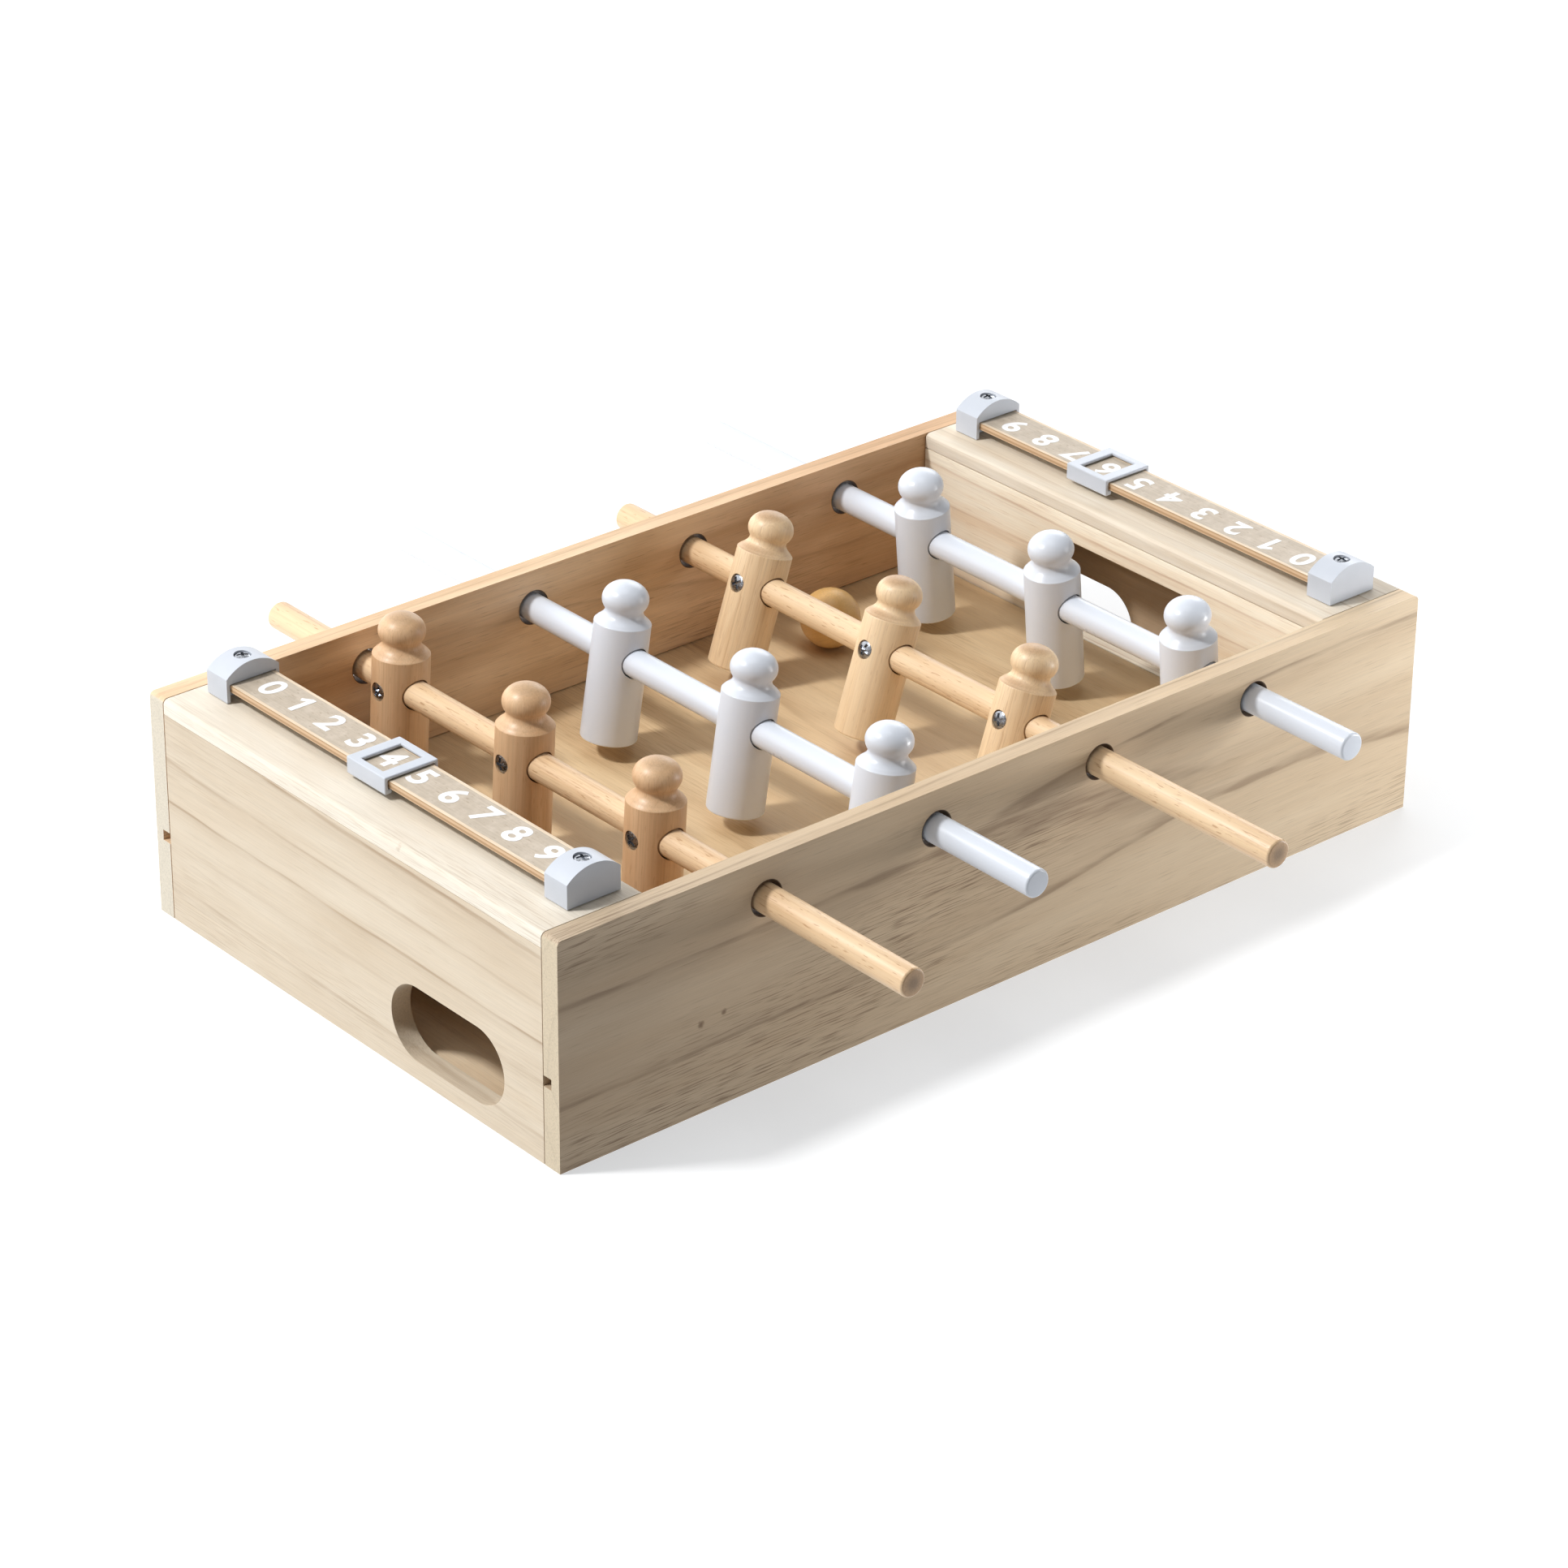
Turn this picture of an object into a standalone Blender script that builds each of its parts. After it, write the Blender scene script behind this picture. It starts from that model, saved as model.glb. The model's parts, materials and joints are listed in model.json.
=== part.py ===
"""Tabletop foosball table: a wooden box with four rods of turned players.

Metres, +Z up. The origin is the middle of the underside. X runs along the table, from the
left goal to the right goal, and Y runs along the rods, from the front side to the rear side.
"""

import math

import bmesh
import bpy
from mathutils import Matrix, Vector

# Box
LENGTH = 0.348
WIDTH = 0.200
HEIGHT = 0.0762
PANEL = 0.007  # side panels, end panels and goal walls
PLANK = 0.005  # the two planks over the return chambers
THIN_BOARD = 0.003  # playfield and base
GAP = 0.0003  # kept between pieces that touch
EDGE_RADIUS = 0.0018
EDGE_SEGMENTS = 4
PITCH_Z = 0.0296
PILOT_DEPTH = 0.0042  # of the cap screws' holes in the top planks
GROOVE_DEPTH = 0.0035
GOAL_X = 0.1368  # playing faces of the goal walls
GOAL_HALF_WIDTH = 0.032
GOAL_TOP = 0.0622
EXIT_Y = 0.0475  # ball exits, at -Y on the left end and at +Y on the right end
EXIT_Z = 0.0190
EXIT_LENGTH = 0.054
EXIT_HEIGHT = 0.0253
EXIT_ROUNDNESS = 0.499  # share of the height; just under half keeps the cutter's ends sound

# Rods
ROD_X = (-0.0973, -0.0314, 0.0351, 0.1010)
ROD_Z = 0.063
ROD_RADIUS = 0.0046
ROD_LENGTH = 0.304
ROD_CHAMFER = 0.0008
ROD_HOLE_RADIUS = 0.0058
ROD_CENTRE_Y = (-0.0114, 0.0082, -0.0238, 0.0098)
ROD_IS_WHITE = (False, True, False, True)

# Players, measured from the rod's axis
PLAYER_PITCH = 0.0624
MIDDLE_PLAYER_Y = (0.0135, -0.0128, -0.0014, -0.0090)
PLAYER_TILT_DEG = (3.5, 9.0, 18.5, -5.5)  # head towards +X
BODY_RADIUS = 0.0092
FOOT_Z = -0.0283
SHOULDER_Z = 0.0111
SHOULDER_INSET = 0.0017
SHOULDER_RISE = 0.0012
BODY_BEVEL = 0.0007
NECK_RADIUS = 0.0061
HEAD_RADIUS = 0.0075
HEAD_HALF_HEIGHT = 0.0058
HEAD_Z = 0.0188
HEAD_RINGS = 6
PLAYER_SIDES = 18

# Screws
PLAYER_SCREW_HEAD_RADIUS = 0.0029
CAP_SCREW_HEAD_RADIUS = 0.0026
SCREW_HEAD_HEIGHT = 0.0012
SCREW_SHANK_RADIUS = 0.0012
SCREW_HEAD_SHAPE = ((0, 1), (0.65, 0.85), (1, 0.3), (1, 0))  # shares of its radius and height
PLAYER_SCREW_SHANK = 0.0026
CAP_SCREW_SHANK = 0.0140

# Ball
BALL_RADIUS = 0.0101
BALL_PLACE = (0.0680, 0.0620)

# Scorers: a printed strip between two caps, with a slider on it
LEFT_SCORER_X = -0.1511
RIGHT_SCORER_X = 0.1559
STRIP_HALF_WIDTH = 0.0082
STRIP_HALF_LENGTH = 0.0810
STRIP_LOW = 0.0798
STRIP_TOP = 0.0822
CAP_HALF_WIDTH = 0.0097
CAP_INNER_Y = 0.0776
CAP_LENGTH = 0.0103
CAP_SIDE_TOP = 0.0843
CAP_TOP = 0.0883
SLIDER_HALF_WIDTH = 0.0098
SLIDER_LENGTH = 0.0190
SLIDER_TOP = 0.0836
SLIDER_LOW = 0.0779
SLIDER_LIP = 0.0013
SLIDER_EDGE_RADIUS = 0.0009
SLIDER_WINDOW_X = 0.0144
SLIDER_WINDOW_Y = 0.0105
LEFT_SLIDER_Y = 0.0070
RIGHT_SLIDER_Y = 0.0240

AXIS_TURNS = {
    "X": Matrix.Rotation(math.radians(90), 4, "Y"),
    "Y": Matrix.Rotation(math.radians(90), 4, "X"),
    "Z": Matrix.Identity(4),
}


def clear_scene():
    for obj in list(bpy.data.objects):
        bpy.data.objects.remove(obj)


def new_collection(name):
    collection = bpy.data.collections.new(name)
    bpy.context.scene.collection.children.link(collection)
    return collection


def new_material(name, colour, roughness, metallic=0.0):
    material = bpy.data.materials.new(name)
    material.use_nodes = True
    shader = material.node_tree.nodes["Principled BSDF"]
    shader.inputs["Base Color"].default_value = (*colour, 1.0)
    shader.inputs["Roughness"].default_value = roughness
    shader.inputs["Metallic"].default_value = metallic
    return material


def add_object(name, mesh, material=None, place=(0, 0, 0)):
    """A part with its material, or a hidden cutter when it has none."""
    obj = bpy.data.objects.new(name, mesh)
    obj.location = place
    if material is None:
        CUTTERS.objects.link(obj)
        obj.hide_render = True
        obj.display_type = "WIRE"
    else:
        PARTS.objects.link(obj)
        mesh.materials.clear()
        mesh.materials.append(material)
    return obj


def mesh_from(bm, name):
    mesh = bpy.data.meshes.new(name)
    bm.to_mesh(mesh)
    bm.free()
    return mesh


def box_mesh(name, low, high, round_axis=None, radius=0.0, segments=EDGE_SEGMENTS, top_only=False):
    """A box from corner to corner; the edges along round_axis can be rounded."""
    low = Vector(low)
    high = Vector(high)
    bm = bmesh.new()
    bmesh.ops.create_cube(bm, size=1.0)
    bmesh.ops.scale(bm, vec=high - low, verts=bm.verts)
    bmesh.ops.translate(bm, vec=(low + high) / 2, verts=bm.verts)
    if round_axis is not None:
        along = Vector([float(letter == round_axis) for letter in "XYZ"])
        middle_z = (low.z + high.z) / 2
        edges = [
            edge
            for edge in bm.edges
            if abs((edge.verts[0].co - edge.verts[1].co).normalized().dot(along)) > 0.9
            and not (top_only and edge.verts[0].co.z < middle_z)
        ]
        bmesh.ops.bevel(
            bm, geom=edges, offset=radius, segments=segments, profile=0.5, affect="EDGES"
        )
    return mesh_from(bm, name)


def cylinder_mesh(name, radius, length, axis, sides):
    bm = bmesh.new()
    bmesh.ops.create_cone(
        bm,
        cap_ends=True,
        segments=sides,
        radius1=radius,
        radius2=radius,
        depth=length,
        matrix=AXIS_TURNS[axis],
    )
    return mesh_from(bm, name)


def add_turned(name, profile, sides, material):
    """A profile of (radius, z) points, top to bottom, swept round Z."""
    mesh = bpy.data.meshes.new(name)
    points = [(radius, 0, z) for radius, z in profile]
    edges = [(i, i + 1) for i in range(len(points) - 1)]
    mesh.from_pydata(points, edges, [])
    obj = add_object(name, mesh, material)
    screw = obj.modifiers.new("sweep", "SCREW")
    screw.axis = "Z"
    screw.steps = sides
    screw.render_steps = sides
    screw.use_merge_vertices = True
    screw.merge_threshold = 0.0001
    return obj


def combine(obj, operation, cutter):
    modifier = obj.modifiers.new(cutter.name, "BOOLEAN")
    modifier.operation = operation
    modifier.object = cutter
    modifier.solver = "EXACT"


def cut_box(obj, name, low, high, **rounding):
    combine(obj, "DIFFERENCE", add_object(name, box_mesh(name, low, high, **rounding)))


def cut_cylinder(obj, name, radius, length, axis, place, sides=20):
    mesh = cylinder_mesh(name, radius, length, axis, sides)
    combine(obj, "DIFFERENCE", add_object(name, mesh, place=place))


def finished_mesh(obj):
    """The object's mesh with its modifiers applied; the object itself is removed."""
    graph = bpy.context.evaluated_depsgraph_get()
    mesh = bpy.data.meshes.new_from_object(obj.evaluated_get(graph))
    mesh.name = obj.name
    for modifier in obj.modifiers:
        if modifier.type == "BOOLEAN":
            bpy.data.objects.remove(modifier.object)
    bpy.data.objects.remove(obj)
    return mesh


def shade(mesh):
    mesh.shade_smooth()
    mesh.set_sharp_from_angle(angle=math.radians(35))


def add_side_panel(name, side, material):
    """A full-length panel with four rod holes and a groove for the playfield; side is -1 or 1."""
    inner = side * (WIDTH / 2 - PANEL)
    outer = side * WIDTH / 2
    low = (-LENGTH / 2, min(inner, outer), 0)
    high = (LENGTH / 2, max(inner, outer), HEIGHT)
    mesh = box_mesh(name, low, high, "Y", EDGE_RADIUS, top_only=True)
    panel = add_object(name, mesh, material)
    bottom = inner + side * GROOVE_DEPTH
    mouth = inner - side * PANEL
    cut_box(
        panel,
        name + "_groove",
        (-LENGTH, min(bottom, mouth), PITCH_Z - THIN_BOARD - GAP),
        (LENGTH, max(bottom, mouth), PITCH_Z + GAP),
    )
    for number, x in enumerate(ROD_X, start=1):
        place = (x, side * (WIDTH - PANEL) / 2, ROD_Z)
        cut_cylinder(panel, f"{name}_hole_{number}", ROD_HOLE_RADIUS, 3 * PANEL, "Y", place)


def add_end_panel(name, end, material):
    """Closes a return chamber; a stadium-shaped hole lets the ball out."""
    half_width = WIDTH / 2 - PANEL - GAP
    inner = end * (LENGTH / 2 - PANEL)
    outer = end * LENGTH / 2
    low = (min(inner, outer), -half_width, 0)
    high = (max(inner, outer), half_width, HEIGHT - PLANK - GAP)
    panel = add_object(name, box_mesh(name, low, high), material)
    exit_y = end * EXIT_Y
    cut_box(
        panel,
        name + "_exit",
        (min(inner, outer) - PANEL, exit_y - EXIT_LENGTH / 2, EXIT_Z - EXIT_HEIGHT / 2),
        (max(inner, outer) + PANEL, exit_y + EXIT_LENGTH / 2, EXIT_Z + EXIT_HEIGHT / 2),
        round_axis="X",
        radius=EXIT_ROUNDNESS * EXIT_HEIGHT,
        segments=8,
    )


def add_goal_wall(name, end, material):
    half_width = WIDTH / 2 - PANEL - GAP
    face = end * GOAL_X
    back = end * (GOAL_X + PANEL)
    low = (min(face, back), -half_width, THIN_BOARD + GAP)
    high = (max(face, back), half_width, HEIGHT - PLANK - GAP)
    wall = add_object(name, box_mesh(name, low, high), material)
    cut_box(
        wall,
        name + "_mouth",
        (min(face, back) - PANEL, -GOAL_HALF_WIDTH, PITCH_Z),
        (max(face, back) + PANEL, GOAL_HALF_WIDTH, GOAL_TOP),
    )


def add_top_plank(name, end, scorer_x, material):
    half_width = WIDTH / 2 - PANEL - GAP
    inner = end * GOAL_X
    outer = end * LENGTH / 2
    low = (min(inner, outer), -half_width, HEIGHT - PLANK)
    high = (max(inner, outer), half_width, HEIGHT)
    mesh = box_mesh(name, low, high, "Y", EDGE_RADIUS, top_only=True)
    plank = add_object(name, mesh, material)
    for side, place in (("front", -1), ("rear", 1)):
        pilot = (scorer_x, place * (CAP_INNER_Y + CAP_LENGTH / 2), HEIGHT)
        radius = SCREW_SHANK_RADIUS + GAP
        cut_cylinder(plank, f"{name}_pilot_{side}", radius, 2 * PILOT_DEPTH, "Z", pilot, sides=12)


def add_boards(base_material, pitch_material):
    half_x = LENGTH / 2 - PANEL - GAP
    half_y = WIDTH / 2 - PANEL - GAP
    mesh = box_mesh("base_board", (-half_x, -half_y, 0), (half_x, half_y, THIN_BOARD))
    add_object("base_board", mesh, base_material)
    half_x = GOAL_X - GAP
    half_y = WIDTH / 2 - PANEL + GROOVE_DEPTH - GAP
    low = (-half_x, -half_y, PITCH_Z - THIN_BOARD)
    mesh = box_mesh("playfield_board", low, (half_x, half_y, PITCH_Z))
    add_object("playfield_board", mesh, pitch_material)


def add_rod(number, material):
    half = ROD_LENGTH / 2
    inner = ROD_RADIUS - ROD_CHAMFER
    profile = [
        (0, half),
        (inner, half),
        (ROD_RADIUS, half - ROD_CHAMFER),
        (ROD_RADIUS, ROD_CHAMFER - half),
        (inner, -half),
        (0, -half),
    ]
    rod = add_turned(f"rod_{number}", profile, 20, material)
    rod.location = (ROD_X[number - 1], ROD_CENTRE_Y[number - 1], ROD_Z)
    rod.rotation_euler.x = math.radians(90)


def player_profile():
    """Head, neck, shoulder and body, from the crown down to the foot."""
    neck_angle = -math.acos(NECK_RADIUS / HEAD_RADIUS)
    profile = []
    for ring in range(HEAD_RINGS + 1):
        angle = math.pi / 2 + (neck_angle - math.pi / 2) * ring / HEAD_RINGS
        radius = HEAD_RADIUS * math.cos(angle)
        profile.append((max(radius, 0.0), HEAD_Z + HEAD_HALF_HEIGHT * math.sin(angle)))
    profile += [
        (BODY_RADIUS - SHOULDER_INSET, SHOULDER_Z + SHOULDER_RISE),
        (BODY_RADIUS, SHOULDER_Z),
        (BODY_RADIUS, FOOT_Z + BODY_BEVEL),
        (BODY_RADIUS - BODY_BEVEL, FOOT_Z),
        (0, FOOT_Z),
    ]
    return profile


def player_mesh(material):
    """One player, bored along Y for the rod and along -X for its screw."""
    player = add_turned("player", player_profile(), PLAYER_SIDES, material)
    cut_cylinder(player, "bore", ROD_RADIUS + GAP, 4 * BODY_RADIUS, "Y", (0, 0, 0))
    recess = PLAYER_SCREW_HEAD_RADIUS + GAP
    depth = BODY_RADIUS - SCREW_HEAD_HEIGHT
    place = (-depth - BODY_RADIUS, 0, 0)
    cut_cylinder(player, "recess", recess, 2 * BODY_RADIUS + 2 * GAP, "X", place, sides=16)
    pilot = SCREW_SHANK_RADIUS + GAP
    place = (-BODY_RADIUS / 2, 0, 0)
    cut_cylinder(player, "pilot", pilot, BODY_RADIUS, "X", place, sides=12)
    mesh = finished_mesh(player)
    shade(mesh)
    return mesh


def screw_mesh(name, head_radius, shank_length, material):
    """A round-headed screw with its head up and the head's seat at z 0."""
    profile = [(head_radius * r, SCREW_HEAD_HEIGHT * z) for r, z in SCREW_HEAD_SHAPE]
    profile += [
        (SCREW_SHANK_RADIUS, 0),
        (SCREW_SHANK_RADIUS, -shank_length + SCREW_SHANK_RADIUS),
        (0, -shank_length),
    ]
    mesh = finished_mesh(add_turned(name, profile, 12, material))
    shade(mesh)
    return mesh


def add_players(number, mesh, screw, material, screw_material):
    """Three players and their screws, on an empty at the rod's axis that carries their tilt."""
    white = ROD_IS_WHITE[number - 1]
    pivot = bpy.data.objects.new(f"rod_{number}_axis", None)
    pivot.location = (ROD_X[number - 1], MIDDLE_PLAYER_Y[number - 1], ROD_Z)
    pivot.rotation_euler.y = math.radians(PLAYER_TILT_DEG[number - 1])
    PARTS.objects.link(pivot)
    screw_side = 1 if white else -1
    for step, place in ((-1, "front"), (0, "middle"), (1, "rear")):
        player = add_object(f"player_{number}_{place}", mesh, material, (0, step * PLAYER_PITCH, 0))
        player.rotation_euler.z = math.pi if white else 0.0
        player.parent = pivot
        seat = screw_side * (BODY_RADIUS - SCREW_HEAD_HEIGHT)
        location = (seat, step * PLAYER_PITCH, 0)
        fastener = add_object(f"player_screw_{number}_{place}", screw, screw_material, location)
        fastener.rotation_euler.y = screw_side * math.pi / 2
        fastener.parent = pivot


def add_ball(material):
    bm = bmesh.new()
    bmesh.ops.create_uvsphere(bm, u_segments=20, v_segments=12, radius=BALL_RADIUS)
    mesh = mesh_from(bm, "ball")
    shade(mesh)
    add_object("ball", mesh, material, (*BALL_PLACE, PITCH_Z + GAP + BALL_RADIUS))


def cap_mesh(material):
    """A cap with an arched top; the strip's end goes into the slot on its -Y side.

    It stands on z 0 and is centred on the origin in X and Y.
    """
    low_z = HEIGHT + GAP
    top = CAP_TOP - low_z
    half_y = CAP_LENGTH / 2
    rise = CAP_TOP - CAP_SIDE_TOP
    arch = (CAP_HALF_WIDTH**2 + rise**2) / (2 * rise)
    low = (-CAP_HALF_WIDTH, -half_y, 0)
    mesh = box_mesh("cap", low, (CAP_HALF_WIDTH, half_y, top + rise))
    cap = add_object("cap", mesh, material)
    mesh = cylinder_mesh("arch", arch, 2 * CAP_LENGTH, "Y", 48)
    combine(cap, "INTERSECT", add_object("arch", mesh, place=(0, 0, top - arch)))
    slot_end = STRIP_HALF_LENGTH + GAP - CAP_INNER_Y - half_y
    slot = STRIP_HALF_WIDTH + GAP
    slot_top = STRIP_TOP + GAP - low_z
    cut_box(cap, "slot", (-slot, -CAP_LENGTH, -CAP_LENGTH), (slot, slot_end, slot_top))
    pilot = SCREW_SHANK_RADIUS + GAP
    cut_cylinder(cap, "shank", pilot, 4 * CAP_LENGTH, "Z", (0, 0, 0), sides=12)
    seat = top - SCREW_HEAD_HEIGHT - GAP
    place = (0, 0, seat + CAP_LENGTH)
    recess = CAP_SCREW_HEAD_RADIUS + GAP
    cut_cylinder(cap, "recess", recess, 2 * CAP_LENGTH, "Z", place, sides=16)
    return finished_mesh(cap)


def slider_mesh(material):
    """A clip with a window over the strip and lips under its edges, centred in X and Y."""
    half_y = SLIDER_LENGTH / 2
    outer = SLIDER_HALF_WIDTH
    inner = STRIP_HALF_WIDTH + GAP
    low = (-outer, -half_y, SLIDER_LOW)
    high = (outer, half_y, SLIDER_TOP)
    mesh = box_mesh("slider", low, high, "Y", SLIDER_EDGE_RADIUS, top_only=True)
    slider = add_object("slider", mesh, material)
    cut_box(
        slider,
        "channel",
        (-inner, -SLIDER_LENGTH, STRIP_LOW - GAP),
        (inner, SLIDER_LENGTH, STRIP_TOP + GAP),
    )
    lip = inner - SLIDER_LIP
    cut_box(slider, "mouth", (-lip, -SLIDER_LENGTH, HEIGHT), (lip, SLIDER_LENGTH, STRIP_LOW))
    half_x = SLIDER_WINDOW_X / 2
    half_y = SLIDER_WINDOW_Y / 2
    cut_box(slider, "window", (-half_x, -half_y, STRIP_TOP), (half_x, half_y, 2 * HEIGHT))
    return finished_mesh(slider)


def add_scorer(side, x, slider_y, meshes, materials):
    """The strip, its two caps and screws, and the slider of one end."""
    low = (-STRIP_HALF_WIDTH, -STRIP_HALF_LENGTH, STRIP_LOW)
    high = (STRIP_HALF_WIDTH, STRIP_HALF_LENGTH, STRIP_TOP)
    strip = box_mesh(f"scorer_strip_{side}", low, high)
    add_object(f"scorer_strip_{side}", strip, materials["strip"], (x, 0, 0))
    for end, sign in (("front", -1), ("rear", 1)):
        y = sign * (CAP_INNER_Y + CAP_LENGTH / 2)
        name = f"{side}_{end}"
        place = (x, y, HEIGHT + GAP)
        cap = add_object(f"scorer_cap_{name}", meshes["cap"], materials["plastic"], place)
        cap.rotation_euler.z = math.pi if sign < 0 else 0.0
        place = (x, y, CAP_TOP - SCREW_HEAD_HEIGHT)
        add_object(f"scorer_cap_screw_{name}", meshes["screw"], materials["screw"], place)
    place = (x, slider_y, 0)
    add_object(f"scorer_slider_{side}", meshes["slider"], materials["plastic"], place)


def build_table():
    case_wood = new_material("case_wood", (0.80, 0.66, 0.46), 0.55)
    pitch_wood = new_material("pitch_wood", (0.62, 0.40, 0.22), 0.50)
    player_wood = new_material("player_wood", (0.66, 0.38, 0.17), 0.45)
    white_paint = new_material("white_paint", (0.86, 0.87, 0.89), 0.30)
    white_plastic = new_material("white_plastic", (0.88, 0.90, 0.93), 0.35)
    strip_print = new_material("strip_print", (0.48, 0.41, 0.33), 0.50)
    screw_zinc = new_material("screw_zinc", (0.28, 0.28, 0.29), 0.40, 1.0)
    ball_wood = new_material("ball_wood", (0.85, 0.62, 0.30), 0.45)

    add_side_panel("side_panel_front", -1, case_wood)
    add_side_panel("side_panel_rear", 1, case_wood)
    for side, end, scorer_x in (("left", -1, LEFT_SCORER_X), ("right", 1, RIGHT_SCORER_X)):
        add_end_panel(f"end_panel_{side}", end, case_wood)
        add_goal_wall(f"goal_wall_{side}", end, case_wood)
        add_top_plank(f"top_plank_{side}", end, scorer_x, case_wood)
    add_boards(case_wood, pitch_wood)

    natural_player = player_mesh(player_wood)
    white_player = natural_player.copy()
    screw = screw_mesh("player_screw", PLAYER_SCREW_HEAD_RADIUS, PLAYER_SCREW_SHANK, screw_zinc)
    for number, white in enumerate(ROD_IS_WHITE, start=1):
        material = white_paint if white else player_wood
        mesh = white_player if white else natural_player
        add_rod(number, material)
        add_players(number, mesh, screw, material, screw_zinc)
    add_ball(ball_wood)

    meshes = {
        "cap": cap_mesh(white_plastic),
        "slider": slider_mesh(white_plastic),
        "screw": screw_mesh("cap_screw", CAP_SCREW_HEAD_RADIUS, CAP_SCREW_SHANK, screw_zinc),
    }
    materials = {"strip": strip_print, "plastic": white_plastic, "screw": screw_zinc}
    add_scorer("left", LEFT_SCORER_X, LEFT_SLIDER_Y, meshes, materials)
    add_scorer("right", RIGHT_SCORER_X, RIGHT_SLIDER_Y, meshes, materials)


clear_scene()
PARTS = new_collection("foosball_table")
CUTTERS = new_collection("cutters")
build_table()
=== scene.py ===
"""Looks of a tabletop foosball table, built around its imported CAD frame.

Metres, +Z up, in the frame's own coordinates: X along the table, Y along the rods.
"""

import json
import math

import bmesh
import bpy
from mathutils import Matrix, Vector

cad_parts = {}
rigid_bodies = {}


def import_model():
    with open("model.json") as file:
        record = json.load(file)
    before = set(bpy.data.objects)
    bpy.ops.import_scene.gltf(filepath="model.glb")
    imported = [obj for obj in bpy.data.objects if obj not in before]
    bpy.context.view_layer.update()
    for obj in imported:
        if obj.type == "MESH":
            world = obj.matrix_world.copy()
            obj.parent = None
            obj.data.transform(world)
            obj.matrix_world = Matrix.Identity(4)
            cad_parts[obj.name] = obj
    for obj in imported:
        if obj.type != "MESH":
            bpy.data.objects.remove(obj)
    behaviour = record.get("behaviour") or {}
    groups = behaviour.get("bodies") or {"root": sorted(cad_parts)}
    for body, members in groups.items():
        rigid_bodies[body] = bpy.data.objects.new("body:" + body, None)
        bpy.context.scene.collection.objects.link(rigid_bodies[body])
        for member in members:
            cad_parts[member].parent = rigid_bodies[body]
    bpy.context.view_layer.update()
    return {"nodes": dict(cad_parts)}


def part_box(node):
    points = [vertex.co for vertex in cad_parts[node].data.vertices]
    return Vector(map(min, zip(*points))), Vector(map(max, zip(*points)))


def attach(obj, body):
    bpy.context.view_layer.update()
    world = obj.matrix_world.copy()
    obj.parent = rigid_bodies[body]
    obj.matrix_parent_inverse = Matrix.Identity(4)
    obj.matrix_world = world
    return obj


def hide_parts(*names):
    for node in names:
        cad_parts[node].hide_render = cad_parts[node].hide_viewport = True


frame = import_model()

SIDES = ("left", "right")
PLACES = ("front", "middle", "rear")
ROD_NUMBERS = (1, 2, 3, 4)
WHITE_RODS = (2, 4)
PLAYER_TILT_DEG = {1: 3.5, 2: 9.0, 3: 18.5, 4: -5.5}
SHARP_DEG = 35  # faces that meet at more than this keep a sharp edge in the shading

# Boards
CASE_LENGTH = 0.348
GAP = 0.0003
PANEL = 0.007
PLANK_RADIUS = 0.0018
EASED_EDGE = 0.0004
CAD_BOARD_EASE = 0.0003
WELD_DISTANCE = 0.00001
SEAM_FILL = 0.0002  # the end panels come this much closer to the planks than their CAD solids
SEAM_EASE = 0.00015
ROD_HOLE_RADIUS = 0.0058
HOLE_SHADE_REACH = 0.0002  # how far the painted shade of a drilled hole reaches past its rim
# The colour of the painted shade on the drilled holes' walls.
HOLE_SHADE_COLOUR = (0.075, 0.040, 0.022)
GROOVE_DEPTH = 0.0035
EXIT_Z = 0.0190
EXIT_Y = 0.0475
EXIT_LENGTH = 0.054
EXIT_HEIGHT = 0.0253
EXIT_ROUNDNESS = 0.499  # the corners' radius over the height, just short of half

# Turned pieces
BODY_RADIUS = 0.0092
BODY_RIM = 0.0004
FOOT_Z = -0.0283
FOOT_RIM = 0.0006
SHOULDER_Z = 0.0113
HEAD_RADIUS = 0.0075
HEAD_HALF_HEIGHT = 0.0058
HEAD_Z = 0.0188
HEAD_END_DEG = -33  # where the head runs into the neck
BORE_CLEARANCE = 0.0005
DOWEL_EDGE = 0.0009
DOWEL_CORE = 0.004  # the reach of the dark middle of a dowel's end
SCREW_HEAD_HEIGHT = 0.0012
PLAYER_SCREW_HEAD_ROOM = 0.0013
SCREW_SIDES = 40
TURNED_STEPS = 64

# Scorers
CAP_SIDE_TOP = 0.0843
CAP_EASE = 0.00035
ARCH_SIDES = 160
SLIDER_EASE = 0.00045
SLIDER_LIP = 0.0013
SLIDER_WINDOW_X = 0.0144
SLIDER_WINDOW_Y = 0.0105
STRIP_EASE = 0.00015
PLY_PERIOD = 0.0016
PRINT_MARGIN = 0.0010
PRINT_RAGGED = 0.0003
DIGITS = 10
DIGIT_PITCH = 0.015
DIGIT_HEIGHT = 0.0089
FONT_DIGIT_HEIGHT = 0.70  # the font's digits over its size
DIGIT_STRETCH = 1.10  # how much wider the digits are than the font's
DIGIT_SHIFT = 0.0008  # along the strip, towards +Y
DIGIT_OFFSET = 0.0008  # across the strip, towards the playfield
DIGIT_WEIGHT = 0.00034
DIGIT_THICKNESS = 0.00012
DIGIT_SINK = 0.00002  # how deep the digits stand in the strip


# ---------------------------------------------------------------- shader helpers


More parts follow.
